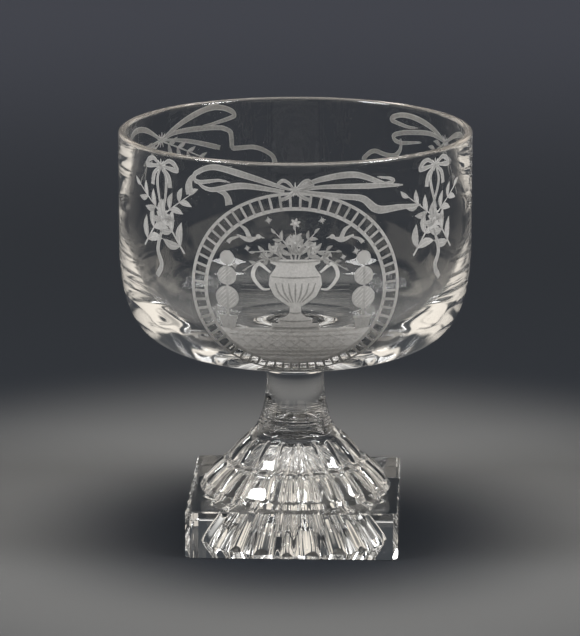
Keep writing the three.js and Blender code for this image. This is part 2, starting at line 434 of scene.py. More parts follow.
# %% [markdown]
# ## Turning a profile
#
# Most of the glass is round, so its pieces are turned: a profile of radius and height is drawn
# with Bezier curves, and the spin operator carries it once round the axis. With use_merge the
# last turn is sewn to the first.

# %% Helpers: profiles and the lathe
SAME_PLACE = 1e-7


def curve(start, handle_a, handle_b, end, steps):
    """Points of radius and height along one Bezier curve."""
    corners = [Vector((*corner, 0)) for corner in (start, handle_a, handle_b, end)]
    return [(p.x, p.y) for p in interpolate_bezier(*corners, steps + 1)]


def shoulder(foot, top, fullness, steps):
    """A round shoulder, upright at its foot and level at its top."""
    rise = (top[1] - foot[1]) * fullness
    reach = (foot[0] - top[0]) * fullness
    return curve(foot, (foot[0], foot[1] + rise), (top[0] + reach, top[1]), top, steps)


def lathe(bm, profile, steps, start=0.0, marks=None):
    """Spins a profile in millimetres round Z. Each vertex keeps its profile point's mark in a
    float layer, so that a later step knows where it is."""
    layer = bm.verts.layers.float.get("mark") or bm.verts.layers.float.new("mark")
    turn = Matrix.Rotation(start, 3, "Z")
    points = []
    for index, (radius, height) in enumerate(profile):
        point = bm.verts.new(turn @ Vector((0, -radius, height)) * MM)
        point[layer] = marks[index] if marks else 0.0
        points.append(point)
    lines = [bm.edges.new(pair) for pair in zip(points, points[1:])]
    bmesh.ops.spin(
        bm,
        geom=points + lines,
        cent=(0, 0, 0),
        axis=(0, 0, 1),
        angle=2 * math.pi,
        steps=steps,
        use_merge=True,
    )
    bmesh.ops.remove_doubles(bm, verts=bm.verts, dist=SAME_PLACE)


print("helpers: curve, shoulder, lathe")

# %% Helpers: weld faces and finished pieces
SEAT, LIP = 1, 2
SHARP_ANGLE = math.radians(38)


def mark_seats(bm, heights, radius=math.inf):
    """Gives the level faces at these heights, within a radius, the weld material."""
    for face in bm.faces:
        level = face.calc_center_median()
        flat = all(abs(v.co.z - level.z) < SAME_PLACE for v in face.verts)
        here = any(abs(level.z - height * MM) < SAME_PLACE for height in heights)
        inside = all(v.co.xy.length < radius * MM + SAME_PLACE for v in face.verts)
        if flat and here and inside:
            face.material_index = SEAT


def finish_piece(name, bm, materials, node=None):
    """Makes the bmesh an object that rides on the glass's one body."""
    bmesh.ops.recalc_face_normals(bm, faces=bm.faces)
    for face in bm.faces:
        face.smooth = True
    for edge in bm.edges:
        edge.smooth = edge.is_manifold and edge.calc_face_angle() < SHARP_ANGLE
    open_edges = sum(not edge.is_manifold for edge in bm.edges)
    mesh = bpy.data.meshes.new(name)
    bm.to_mesh(mesh)
    volume = bm.calc_volume() / MM**3
    bm.free()
    for material in materials:
        mesh.materials.append(material)
    piece = bpy.data.objects.new(name, mesh)
    bpy.context.scene.collection.objects.link(piece)
    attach(piece, "root")
    if node:
        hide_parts(node)
    print(f"{name}: {len(mesh.polygons)} faces, {volume:.0f} mm3, {open_edges} open edges")


print("sharp edges start at", round(math.degrees(SHARP_ANGLE)), "degrees")

# %% [markdown]
# ## The bowl
#
# The bowl was blown: a thin upright wall over a full round bottom where the glass gathered. Its
# outside and its inside are separate curves, so the bottom is thick and bends light strongly.
# The rim is fire-polished, a half round. A blown wall is never quite even, so the inside wall
# gets a very low wave round the bowl, which breaks up the bright band at the side.

# %% Profile of the bowl
BOWL_STEPS = 192
BOWL_CURVE_STEPS = 40
RIM_STEPS = 12
outer_end = rim_top - OUTER_STRAIGHT_HEIGHT
inner_end = rim_top - INNER_STRAIGHT_HEIGHT
inner_radius = RIM_RADIUS - WALL_THICKNESS
floor_height = stem_top + BOTTOM_THICKNESS
outer_curve = curve(
    (STEM_TOP_RADIUS, stem_top),
    (
        STEM_TOP_RADIUS + (RIM_RADIUS - STEM_TOP_RADIUS) * OUTER_BOTTOM_FULLNESS,
        stem_top + BOTTOM_RISE,
    ),
    (RIM_RADIUS, outer_end - (outer_end - stem_top) * OUTER_SIDE_FULLNESS),
    (RIM_RADIUS, outer_end),
    BOWL_CURVE_STEPS,
)
inner_curve = curve(
    (inner_radius, inner_end),
    (inner_radius, inner_end - (inner_end - floor_height) * INNER_SIDE_FULLNESS),
    (inner_radius * INNER_BOTTOM_FULLNESS, floor_height),
    (0, floor_height),
    BOWL_CURVE_STEPS,
)
lip = WALL_THICKNESS / 2
rim_curve = []
for i in range(RIM_STEPS + 1):
    turn = math.pi * i / RIM_STEPS
    rim_curve.append((RIM_RADIUS - lip + lip * math.cos(turn), rim_top - lip + lip * math.sin(turn)))
print("bowl profile:", len(outer_curve) + len(rim_curve) + len(inner_curve), "points")

# %% The blown bowl: each wave has its count round the bowl, its depth and its phase
WALL_WAVES = ((5, 0.03, 0.4), (9, 0.015, 1.9), (17, 0.006, 0.7))
WAVE_FULL_RADIUS = 20
LIP_SHARE = 0.45
INSIDE_MARK = 1.0
bowl_bm = bmesh.new()
bowl_profile = [(0, stem_top), *outer_curve, *rim_curve, *inner_curve]
outside_points = 1 + len(outer_curve) + len(rim_curve)
bowl_marks = [0.0] * outside_points + [INSIDE_MARK] * len(inner_curve)
lathe(bowl_bm, bowl_profile, BOWL_STEPS, marks=bowl_marks)
mark_layer = bowl_bm.verts.layers.float["mark"]
for vert in bowl_bm.verts:
    if vert[mark_layer] == INSIDE_MARK:
        azimuth = math.atan2(vert.co.x, -vert.co.y)
        depth = (rim_top - vert.co.z / MM) / (rim_top - floor_height)
        share = math.sin(math.pi * min(1, max(0, depth)))
        share *= min(1, vert.co.xy.length / MM / WAVE_FULL_RADIUS)
        wave = sum(size * math.sin(count * azimuth + phase) for count, size, phase in WALL_WAVES)
        vert.co.xy *= 1 + wave * share / inner_radius
mark_seats(bowl_bm, [stem_top], STEM_TOP_RADIUS)
for face in bowl_bm.faces:
    if face.calc_center_median().z / MM > rim_top - lip * LIP_SHARE:
        face.material_index = LIP
finish_piece("blown_bowl", bowl_bm, [blown_glass, weld_seat, matt_lip_painted_reflection], "bowl")

# %% [markdown]
# ## The stem and the wafer
#
# The stem is a solid gather, drawn to a waist and dropped on to the bowl, where it flares. A
# wafer of hot glass welds it to the foot: a low disc whose side still shows the rings of the
# weld. One sweep runs up the side of the neck, the wafer and the stem, and each piece takes its
# own stretch of it.

# %% The sweep from the foot to the waist
STEM_STEPS = 144
SWEEP_POINTS = 200
waist_height = stem_top - STEM_FLARE_HEIGHT
foot_angle = math.radians(SWEEP_FOOT_DEGREES)
sweep = curve(
    (UPPER_TIER_TOP_RADIUS, neck_base),
    (
        UPPER_TIER_TOP_RADIUS - SWEEP_FOOT_PULL * math.cos(foot_angle),
        neck_base + SWEEP_FOOT_PULL * math.sin(foot_angle),
    ),
    (STEM_WAIST_RADIUS, waist_height - SWEEP_WAIST_PULL),
    (STEM_WAIST_RADIUS, waist_height),
    SWEEP_POINTS,
)


def sweep_between(low, high, steps):
    """Points of the sweep at even steps of height."""
    points = []
    for i in range(steps + 1):
        height = low + (high - low) * i / steps
        above = next(k for k, p in enumerate(sweep) if p[1] >= height - SAME_PLACE)
        (r0, z0), (r1, z1) = sweep[max(above - 1, 0)], sweep[max(above, 1)]
        points.append((r0 + (r1 - r0) * (height - z0) / (z1 - z0), height))
    return points


print("sweep radius at the wafer:", round(sweep_between(dome_top, wafer_top, 1)[0][0], 2), "mm")

# %% The stem
WAIST_STEPS = 16
FLARE_STEPS = 14
FLARE_FULLNESS = 2 / 3
stem_bm = bmesh.new()
waist = sweep_between(wafer_top, waist_height, WAIST_STEPS)
flare = curve(
    (STEM_WAIST_RADIUS, waist_height),
    (STEM_WAIST_RADIUS, waist_height + STEM_FLARE_HEIGHT * FLARE_FULLNESS),
    (STEM_TOP_RADIUS - (STEM_TOP_RADIUS - STEM_WAIST_RADIUS) * FLARE_FULLNESS, stem_top),
    (STEM_TOP_RADIUS, stem_top),
    FLARE_STEPS,
)[1:]
lathe(stem_bm, [(0, wafer_top), *waist, *flare, (0, stem_top)], STEM_STEPS)
mark_seats(stem_bm, [wafer_top, stem_top])
finish_piece("drawn_stem", stem_bm, [blown_glass, weld_seat], "stem")

# %% The wafer and its weld rings
WAFER_RINGS = 4
RING_DEPTH = 0.05
WAFER_SIDE_STEPS = 32
wafer_bm = bmesh.new()
side = sweep_between(dome_top, wafer_top, WAFER_SIDE_STEPS)
ringed = []
for i, (r, z) in enumerate(side):
    along = i / WAFER_SIDE_STEPS
    ring = math.sin(2 * math.pi * WAFER_RINGS * along) * math.sin(math.pi * along)
    ringed.append((r + RING_DEPTH * ring, z))
lathe(wafer_bm, [(0, dome_top), *ringed, (0, wafer_top)], STEM_STEPS)
mark_seats(wafer_bm, [dome_top, wafer_top])
finish_piece("weld_wafer", wafer_bm, [blown_glass, weld_seat], "join_wafer")

# %% [markdown]
# ## The moulded foot
#
# The dome is turned like the bowl, and then each vertex sinks along its normal by the section
# of a flute: nearly flat across, with a narrow ridge on each side and rounded ends. The hollow
# underneath has a rib for every flute. The plinth is a box with bevelled corners, whose top and
# bottom are filled up to the round edges of the dome and the hollow.

# %% Flutes: a vertex mark below LOWER is plain, and above it tells the tier and the way up it
FLUTE_COUNT = 18
FLUTE_PHASE = math.radians(-4)
LOWER_FLUTE_DEPTH = 1.0
UPPER_FLUTE_DEPTH = 0.8
FLUTE_CROWN = 0.35
RIDGE_SHARPNESS = 6
FLUTE_STEPS = 16
FOOT_STEPS = FLUTE_COUNT * FLUTE_STEPS
RIDGE_AZIMUTH = FLUTE_PHASE + math.pi / FLUTE_COUNT
PLAIN, LOWER, UPPER = -1.0, 0.0, 2.0


def across_flute(place):
    """0 in the middle of a flute and 1 on the ridge at either side of it."""
    azimuth = math.atan2(place.x, -place.y) - RIDGE_AZIMUTH
    return abs(2 * ((azimuth * FLUTE_COUNT / (2 * math.pi)) % 1) - 1)


def flute_depth(mark, across):
    """How deep a flute is at a point, in millimetres, by its mark and its place across."""
    if mark < LOWER:
        return 0.0
    deepest, along = (UPPER_FLUTE_DEPTH, mark - UPPER) if mark >= UPPER else (LOWER_FLUTE_DEPTH, mark)
    crown = FLUTE_CROWN * across**2
    ridge = (1 - FLUTE_CROWN) * across**RIDGE_SHARPNESS
    end = abs(2 * along - 1) ** RIDGE_SHARPNESS
    return deepest * max(0.0, 1 - crown - ridge - end)


print("flutes:", FLUTE_COUNT, "with", FLUTE_STEPS, "steps each")

# %% The ribbed hollow
RIB_DEPTH = 2.2
HOLLOW_STEPS = 28
HOLLOW_MIDDLE = Vector((0, 0, -10 * MM))
hollow_profile = curve(
    (HOLLOW_RADIUS, 0),
    (HOLLOW_RADIUS - HOLLOW_MOUTH_PULL[0], HOLLOW_MOUTH_PULL[1]),
    (HOLLOW_CROWN_PULL, HOLLOW_DEPTH),
    (0, HOLLOW_DEPTH),
    HOLLOW_STEPS,
)


def add_hollow(bm, keep_above):
    """Adds the hollow's wall above or below the plinth's top face."""
    lathe(bm, hollow_profile, FOOT_STEPS, start=RIDGE_AZIMUTH)
    bmesh.ops.recalc_face_normals(bm, faces=bm.faces)
    bm.normal_update()
    outwards = {}
    for vert in bm.verts:
        share = vert.co.xy.length / MM / HOLLOW_RADIUS
        normal = vert.normal if vert.normal.dot(vert.co - HOLLOW_MIDDLE) > 0 else -vert.normal
        normal = Vector((normal.x, normal.y, 0)).normalized() if vert.co.z < SAME_PLACE else normal
        swell = 0.5 + 0.5 * math.cos(math.pi * across_flute(vert.co))
        outwards[vert] = normal * RIB_DEPTH * MM * share * swell
    for vert, move in outwards.items():
        vert.co += move
    bmesh.ops.bisect_plane(
        bm,
        geom=bm.verts[:] + bm.edges[:] + bm.faces[:],
        plane_co=(0, 0, PLINTH_HEIGHT * MM),
        plane_no=(0, 0, 1 if keep_above else -1),
        dist=SAME_PLACE,
        clear_inner=True,
    )


print("hollow profile:", len(hollow_profile), "points")

# %% The fluted dome
TIER_STEPS = 22
NECK_STEPS = 8
lower_tier = shoulder(
    (DOME_BASE_RADIUS - BASE_BAND_SETBACK, PLINTH_HEIGHT + BASE_BAND_HEIGHT),
    (LOWER_TIER_TOP_RADIUS, step_height),
    TIER_FULLNESS,
    TIER_STEPS,
)
upper_tier = shoulder(
    (UPPER_TIER_BASE_RADIUS, step_height + STEP_RISE),
    (UPPER_TIER_TOP_RADIUS, neck_base),
    TIER_FULLNESS,
    TIER_STEPS,
)
neck = sweep_between(neck_base, dome_top, NECK_STEPS)[1:]
dome_profile = [(DOME_BASE_RADIUS, PLINTH_HEIGHT), *lower_tier, *upper_tier, *neck, (0, dome_top)]
tier_marks = [i / TIER_STEPS for i in range(TIER_STEPS + 1)]
dome_marks = [PLAIN]
dome_marks += [LOWER + mark for mark in tier_marks]
dome_marks += [UPPER + mark for mark in tier_marks]
dome_marks += [PLAIN] * (len(neck) + 1)
dome_bm = bmesh.new()
add_hollow(dome_bm, keep_above=True)
hollow_verts = set(dome_bm.verts)
lathe(dome_bm, dome_profile, FOOT_STEPS, start=RIDGE_AZIMUTH, marks=dome_marks)
print("dome profile:", len(dome_profile), "points")

# %% Sink the flutes and close the dome underneath
ON_CIRCLE = 1e-5
mark_layer = dome_bm.verts.layers.float["mark"]
dome_bm.normal_update()
sinks = {}
for vert in dome_bm.verts:
    if vert not in hollow_verts and vert.co.z > PLINTH_HEIGHT * MM + SAME_PLACE:
        normal = vert.normal if vert.normal.dot(vert.co) > 0 else -vert.normal
        sinks[vert] = normal * flute_depth(vert[mark_layer], across_flute(vert.co)) * MM
for vert, move in sinks.items():
    vert.co -= move
open_edges = [edge for edge in dome_bm.edges if edge.is_boundary]
outer_edges = [
    edge
    for edge in open_edges
    if all(abs(v.co.xy.length - DOME_BASE_RADIUS * MM) < ON_CIRCLE for v in edge.verts)
]
inner_edges = [edge for edge in open_edges if edge not in outer_edges]
bmesh.ops.triangle_fill(dome_bm, edges=outer_edges + inner_edges, use_beauty=True, normal=(0, 0, -1))
mark_seats(dome_bm, [PLINTH_HEIGHT, dome_top])
finish_piece("moulded_dome", dome_bm, [moulded_glass, weld_seat], "fluted_dome")

# %% The plinth: a bevelled box without its top and bottom
BEVEL = {"offset_type": "OFFSET", "affect": "EDGES", "segments": 1, "profile": 0.5, "material": -1}
CAP_CORNERS = 8
plinth_bm = bmesh.new()
add_hollow(plinth_bm, keep_above=False)
box = bmesh.ops.create_cube(plinth_bm, size=1)["verts"]
bmesh.ops.scale(plinth_bm, verts=box, vec=Vector((PLINTH_WIDTH, PLINTH_WIDTH, PLINTH_HEIGHT)) * MM)
bmesh.ops.translate(plinth_bm, verts=box, vec=(0, 0, PLINTH_HEIGHT / 2 * MM))
box_edges = {edge for vert in box for edge in vert.link_edges}
uprights = [e for e in box_edges if abs(e.verts[0].co.z - e.verts[1].co.z) > MM]
bmesh.ops.bevel(plinth_bm, geom=uprights, offset=PLINTH_CORNER_BEVEL * MM, **BEVEL)
caps = [face for face in plinth_bm.faces if len(face.verts) == CAP_CORNERS]
rims = [edge for cap in caps for edge in cap.edges]
bmesh.ops.bevel(plinth_bm, geom=rims, offset=PLINTH_EDGE_BEVEL * MM, **BEVEL)
caps = [face for face in plinth_bm.faces if len(face.verts) == CAP_CORNERS]
bmesh.ops.delete(plinth_bm, geom=caps, context="FACES_ONLY")
print("plinth box:", len(caps), "caps taken off")

# %% The plinth: finer sides, and the dome's circle on its top
SIDE_CUTS = FOOT_STEPS // 4 - 2
long_edges = []
for edge in plinth_bm.edges:
    run = edge.verts[0].co - edge.verts[1].co
    if abs(run.z) < SAME_PLACE and max(abs(run.x), abs(run.y)) > PLINTH_WIDTH / 2 * MM:
        long_edges.append(edge)
bmesh.ops.subdivide_edges(plinth_bm, edges=long_edges, cuts=SIDE_CUTS, use_grid_fill=True)
seat_circle = bmesh.ops.create_circle(plinth_bm, segments=FOOT_STEPS, radius=DOME_BASE_RADIUS * MM)
bmesh.ops.rotate(
    plinth_bm,
    verts=seat_circle["verts"],
    cent=(0, 0, 0),
    matrix=Matrix.Rotation(RIDGE_AZIMUTH - math.pi / 2, 3, "Z"),
)
bmesh.ops.translate(plinth_bm, verts=seat_circle["verts"], vec=(0, 0, PLINTH_HEIGHT * MM))
circle_edges = list({edge for vert in seat_circle["verts"] for edge in vert.link_edges})
print("plinth:", len(circle_edges), "edges in the dome's circle")

# %% The plinth: fill its top and its bottom
BETWEEN = 1.0


def open_edges_at(bm, height, least=0.0, most=math.inf):
    """The open edges at a height whose ends are between two radii, in millimetres."""
    return [
        edge
        for edge in bm.edges
        if edge.is_boundary
        and all(abs(v.co.z - height * MM) < SAME_PLACE for v in edge.verts)
        and all(least * MM < v.co.xy.length < most * MM for v in edge.verts)
    ]


outline_least = PLINTH_WIDTH / 2 - BETWEEN
top_outline = open_edges_at(plinth_bm, PLINTH_HEIGHT, least=outline_least)
bottom_outline = open_edges_at(plinth_bm, 0, least=outline_least)
hollow_mouth = open_edges_at(plinth_bm, 0, most=outline_least)
hollow_top = open_edges_at(plinth_bm, PLINTH_HEIGHT, most=DOME_BASE_RADIUS - BETWEEN)
for borders, facing in (
    (top_outline + circle_edges, 1),
    (circle_edges + hollow_top, 1),
    (bottom_outline + hollow_mouth, -1),
):
    bmesh.ops.triangle_fill(plinth_bm, edges=borders, use_beauty=True, normal=(0, 0, facing))
mark_seats(plinth_bm, [PLINTH_HEIGHT], DOME_BASE_RADIUS)
finish_piece(
    "moulded_plinth", plinth_bm, [moulded_glass, weld_seat], "square_plinth"
)

# %% [markdown]
# ## The engraving
#
# The decoration was cut with small copper wheels, which leaves the glass matt and pale. It
# could be painted on with a mask, but cuts have edges that catch the light, so each one is made
# as a very thin frosted shell in the outer skin of the bowl. A motif is drawn flat first, in
# millimetres: `u` runs round the bowl from the middle of the front, and `v` is the height on
# the wall, or the way along the curve of the bottom. Then the drawing is sliced into narrow
# strips, given its thickness and wrapped round the bowl.

# %% The matt glass of the cuts
CUT_DARK = (0.2, 0.2, 0.195, 1)
CUT_PALE = (0.9, 0.89, 0.875, 1)
CLOUD_SCALE = 170.0
CLOUD_SHARE = 0.35
GRAIN_SCALE = 1500.0
GRAIN_SHARE = 0.6
GRAIN_DEPTH = 0.00004
CUT_ROUGHNESS = 0.62
CUT_GLOW = 0.6
CUT_GLOW_DEPTH = 0.00006
engraved_glass, tree, shader = new_material("engraved_glass")
tone = add_node(tree, "ShaderNodeAttribute", attribute_name="tone")
where = add_node(tree, "ShaderNodeTexCoord")
grain = add_node(tree, "ShaderNodeTexNoise", Scale=GRAIN_SCALE, Detail=3.0, Roughness=0.6)
cloud = add_node(tree, "ShaderNodeTexNoise", Scale=CLOUD_SCALE, Detail=2.0)
mottle = add_node(tree, "ShaderNodeMath", operation="MULTIPLY_ADD")
mottle.inputs[1].default_value = CLOUD_SHARE
mottle.inputs[2].default_value = -(CLOUD_SHARE + GRAIN_SHARE) / 2
speckle = add_node(tree, "ShaderNodeMath", operation="MULTIPLY_ADD")
speckle.inputs[1].default_value = GRAIN_SHARE
worn = add_node(tree, "ShaderNodeMath", operation="ADD", use_clamp=True)
bump = add_node(tree, "ShaderNodeBump", Strength=1.0, Distance=GRAIN_DEPTH)
link = tree.links.new
link(where.outputs["Object"], grain.inputs["Vector"])
link(where.outputs["Object"], cloud.inputs["Vector"])
link(cloud.outputs["Fac"], mottle.inputs[0])
link(grain.outputs["Fac"], speckle.inputs[0])
link(mottle.outputs["Value"], speckle.inputs[2])
link(tone.outputs["Fac"], worn.inputs[0])
link(speckle.outputs["Value"], worn.inputs[1])
link(blend(tree, worn.outputs["Value"], CUT_DARK, CUT_PALE), shader.inputs["Base Color"])
link(grain.outputs["Fac"], bump.inputs["Height"])
link(bump.outputs["Normal"], shader.inputs["Normal"])
shader.inputs["Roughness"].default_value = CUT_ROUGHNESS
shader.inputs["IOR"].default_value = GLASS_IOR
shader.inputs["Subsurface Weight"].default_value = CUT_GLOW
shader.inputs["Subsurface Radius"].default_value = (1, 1, 1)
shader.inputs["Subsurface Scale"].default_value = CUT_GLOW_DEPTH
print("cuts:", engraved_glass.name)

# %% [markdown]
# The cuts cross and lie on each other, and two faces in one place would flicker. So the cuts
# take turns at a few heights, each a hair above the one before. The mound and the urn are wide,
# and lie below all the rest.

# %% Helpers: a drawing and the lift of a cut
LIFT_LOW = 0.024
LIFT_STEP = 0.0016
LIFT_COUNT = 14
MOUND_LIFT = 0.010
URN_LIFT = 0.017
cut_numbers = itertools.count(1)


def new_drawing():
    """An empty flat drawing, with a layer for the tone and one to pair the sides of a stroke."""
    bm = bmesh.new()
    bm.verts.layers.float.new("tone")
    bm.verts.layers.int.new("step")
    return bm


def next_lift():
    """The height of the next cut over the glass, in millimetres."""
    return LIFT_LOW + LIFT_STEP * (next(cut_numbers) % LIFT_COUNT)


print("lifts:", LIFT_COUNT, "from", LIFT_LOW, "mm")

# %% Helpers: smooth paths
PATH_STEP = 0.7


def smooth_path(points):
    """A smooth curve through the points. At each one it runs in line with the two beside it."""
    spots = [Vector((*point, 0)) for point in points]
    ahead = spots[1:] + [2 * spots[-1] - spots[-2]]
    before = [2 * spots[0] - spots[1]] + spots[:-1]
    path = [spots[0]]
    for i in range(len(spots) - 1):
        start, end = spots[i], spots[i + 1]
        handle_a = start + (end - before[i]) / 6
        handle_b = end - (ahead[i + 1] - start) / 6
        count = max(2, round((end - start).length / PATH_STEP))
        path += interpolate_bezier(start, handle_a, handle_b, end, count + 1)[1:]
    return path


def width_along(widths, share):
    """The width at a share of the way along a stroke."""
    place = share * (len(widths) - 1)
    index = min(int(place), len(widths) - 2)
    return widths[index] + (widths[index + 1] - widths[index]) * (place - index)


print("a path has a point every", PATH_STEP, "mm")


# %% Helpers: strokes and patches
def stroke(bm, points, widths, tone):
    """One cut of the wheel: a ribbon along a smooth path, as wide as the widths say."""
    tone_layer = bm.verts.layers.float["tone"]
    step_layer = bm.verts.layers.int["step"]
    path = smooth_path(points)
    lift = next_lift()
    last = len(path) - 1
    verts, across = [], []
    for i, spot in enumerate(path):
        run = (path[min(i + 1, last)] - path[max(i - 1, 0)]).normalized()
        side = Vector((-run.y, run.x, 0)) * width_along(widths, i / last)
        vert = bm.verts.new((spot.x + side.x / 2, spot.y + side.y / 2, lift))
        vert[tone_layer] = tone
        vert[step_layer] = i
        verts.append(vert)
        across.append(side)
    edges = [bm.edges.new(pair) for pair in zip(verts, verts[1:])]
    for item in bmesh.ops.extrude_edge_only(bm, edges=edges)["geom"]:
        if isinstance(item, bmesh.types.BMVert):
            item.co -= across[item[step_layer]]


def patch(bm, outline, tone, lift=None):
    """A matt patch inside an outline."""
    tone_layer = bm.verts.layers.float["tone"]
    lift = lift or next_lift()
    verts = [bm.verts.new((*corner, lift)) for corner in outline]
    for vert in verts:
        vert[tone_layer] = tone
    edges = [bm.edges.new(pair) for pair in zip(verts, verts[1:] + verts[:1])]
    bmesh.ops.triangle_fill(bm, edges=edges, use_beauty=True, normal=(0, 0, 1))


def disc(bm, centre, radii, tone, segments=32):
    """A round or oval matt patch, with radii across and up."""
    tone_layer = bm.verts.layers.float["tone"]
    verts = bmesh.ops.create_circle(bm, cap_ends=True, segments=segments, radius=1)["verts"]
    bmesh.ops.scale(bm, verts=verts, vec=(radii[0], radii[1], 1))
    bmesh.ops.translate(bm, verts=verts, vec=(*centre, next_lift()))
    for vert in verts:
        vert[tone_layer] = tone


def on_side(side, points):
    """Points of the right half: there with side 1, and mirrored to the left with side -1."""
    return [(side * u, v) for u, v in points]


print("helpers: stroke, patch, disc, on_side")

# %% Helpers: places on the bowl's outer wall
wall_down = [Vector((r, z)) for r, z in reversed(outer_curve)]
wall_arc = [0.0]
for upper, lower in zip(wall_down, wall_down[1:]):
    wall_arc.append(wall_arc[-1] + (lower - upper).length)


def wall_point(v):
    """The radius and height of the outer wall at v, and the way out of the glass there."""
    if v >= outer_end:
        return Vector((RIM_RADIUS, v)), Vector((1, 0))
    arc = outer_end - v
    index = next(i for i, length in enumerate(wall_arc[1:]) if length >= arc)
    upper, lower = wall_down[index], wall_down[index + 1]
    run = (lower - upper).normalized()
    return upper + run * (arc - wall_arc[index]), Vector((-run.y, run.x))


def wrapped(flat):
    """A point of the flat drawing, in metres on the bowl; its z is its height over the glass."""
    spot, out = wall_point(flat.y)
    radius, height = spot + out * flat.z
    azimuth = flat.x / RIM_RADIUS + CAMERA_AZIMUTH
    return Vector((radius * math.sin(azimuth), -radius * math.cos(azimuth), height)) * MM


print("wall below the straight part:", round(wall_arc[-1], 1), "mm along the curve")

# %% Helpers: slice a drawing and wrap it round the bowl
SLICE = 1.88
SLICE_CLOSE = 0.0001
BURY = 0.03


def slice_drawing(bm, along, cuts):
    """Cuts every face of a drawing on lines across u or v."""
    for place in cuts:
        bmesh.ops.bisect_plane(
            bm,
            geom=bm.verts[:] + bm.edges[:] + bm.faces[:],
            plane_co=Vector(along) * place,
            plane_no=along,
            dist=SLICE_CLOSE,
        )


def engrave(name, bm):
    """Slices a drawing, gives it thickness and wraps it round the bowl."""
    left = math.ceil(min(vert.co.x for vert in bm.verts) / SLICE)
    right = int(max(vert.co.x for vert in bm.verts) / SLICE)
    down = int((outer_end - min(vert.co.y for vert in bm.verts)) / SLICE)
    slice_drawing(bm, (1, 0, 0), [SLICE * k for k in range(left, right + 1)])
    slice_drawing(bm, (0, 1, 0), [outer_end - SLICE * k for k in range(down + 1)])
    thick = bmesh.ops.extrude_face_region(bm, geom=bm.faces[:])["geom"]
    for item in thick:
        if isinstance(item, bmesh.types.BMVert):
            item.co.z = -(BURY + item.co.z)
    for vert in bm.verts:
        vert.co = wrapped(vert.co)
    finish_piece(name, bm, [engraved_glass])


print("a drawing is sliced every", SLICE, "mm")

# %% Helpers: leaves and sprays
HAIR = 0.12
LEAF_BEND = 0.1
LEAF_SWELL = (0.8, 1.0, 0.7)
LEAF_ANGLE = math.radians(42)
LEAF_FIRST = 0.6
LEAF_LAST = 0.4
LEAF_SHORTER = 0.45
LEAF_NARROWER = 0.4
LEAF_SHADE = 0.06
TIP_LEAF = (0.5, 0.55)
RAISED = 0.35


def leaf(bm, foot, tip, width, tone):
    """A pointed leaf with a midrib."""
    run = Vector(tip) - Vector(foot)
    middle = Vector(foot) + run * 0.5 + Vector((-run.y, run.x)) * LEAF_BEND
    stroke(bm, [foot, middle, tip], [HAIR, *(width * swell for swell in LEAF_SWELL), HAIR], tone)
    stroke(bm, [foot, middle, tip], [0.22, 0.16, HAIR], min(1.0, tone + RAISED))


def spray(bm, points, count, length, width, tone):
    """A stem with leaves on both sides, which get smaller towards its tip."""
    path = smooth_path(points)
    stroke(bm, points, [0.6, 0.5, 0.25], tone + 0.1)
    for k in range(count):
        share = (k + LEAF_FIRST) / (count + LEAF_LAST)
        index = int(share * (len(path) - 1))
        foot = path[index]
        run = (path[min(index + 1, len(path) - 1)] - path[index - 1]).normalized()
        size = length * (1 - LEAF_SHORTER * share)
        broad = width * (1 - LEAF_NARROWER * share)
        for side in (-1, 1):
            reach = Matrix.Rotation(side * LEAF_ANGLE, 3, "Z") @ run * size
            leaf(bm, foot.xy, (foot + reach).xy, broad, tone - LEAF_SHADE * side)
    tip = path[-1]
    end = (path[-1] - path[-2]).normalized() * length * TIP_LEAF[0]
    leaf(bm, tip.xy, (tip + end).xy, width * TIP_LEAF[1], tone)


print("leaves stand off their stem at", round(math.degrees(LEAF_ANGLE)), "degrees")

# %% Helpers: rosettes and stars
PETAL_OVERLAP = 1.2
PETAL_FOOT = 0.15
PETAL_TURN = 0.25
ROSETTE_MIDDLE = 0.32
STAR_CUTS = 4
STAR_TURN = 0.2
STAR_SHORT = 0.7


def rosette(bm, centre, radius, petals, tone):
    """A flower seen from the front: petals round a raised middle."""
    middle = Vector(centre)
    broad = PETAL_OVERLAP * math.pi * radius / petals
    for k in range(petals):
        angle = 2 * math.pi * (k + PETAL_TURN) / petals
        run = Vector((math.cos(angle), math.sin(angle))) * radius
        stroke(bm, [middle + run * PETAL_FOOT, middle + run], [0.3, broad, broad * 0.8, 0.3], tone)
    disc(bm, centre, (radius * ROSETTE_MIDDLE, radius * ROSETTE_MIDDLE), min(1.0, tone + RAISED), 16)


def star(bm, centre, radius, tone):
    """A small star of crossed cuts, long and short by turns."""
    for k in range(STAR_CUTS):
        angle = math.pi * k / STAR_CUTS + STAR_TURN
        size = radius * (1 if k % 2 == 0 else STAR_SHORT)
        run = Vector((math.cos(angle), math.sin(angle))) * size
        stroke(bm, [Vector(centre) - run, Vector(centre) + run], [HAIR, 0.5, HAIR], tone)


print("helpers: rosette, star")

# %% [markdown]
# ## The oval on the front
#
# Two lines with rungs between them frame a picture: an urn of flowers on a step, a trimmed tree
# in a pot on each side, and two birds over them, all on a cross-hatched mound. It is a plain
# garden picture of the period, with the weight and the spacing of the cuts in the photograph.

# %% The oval border
OVAL_CENTRE = Vector((0.0, 94.4))
OVAL_OUTER = (34.2, 31.4)
OVAL_INNER = (29.4, 26.6)
OVAL_STEPS = 40
RUNG_COUNT = 64
RUNG_TONE = 0.4
RUNG_UNEVEN = 0.08


def oval_point(radii, angle):
    """A point on an oval round the middle of the picture."""
    return OVAL_CENTRE + Vector((radii[0] * math.sin(angle), radii[1] * math.cos(angle)))


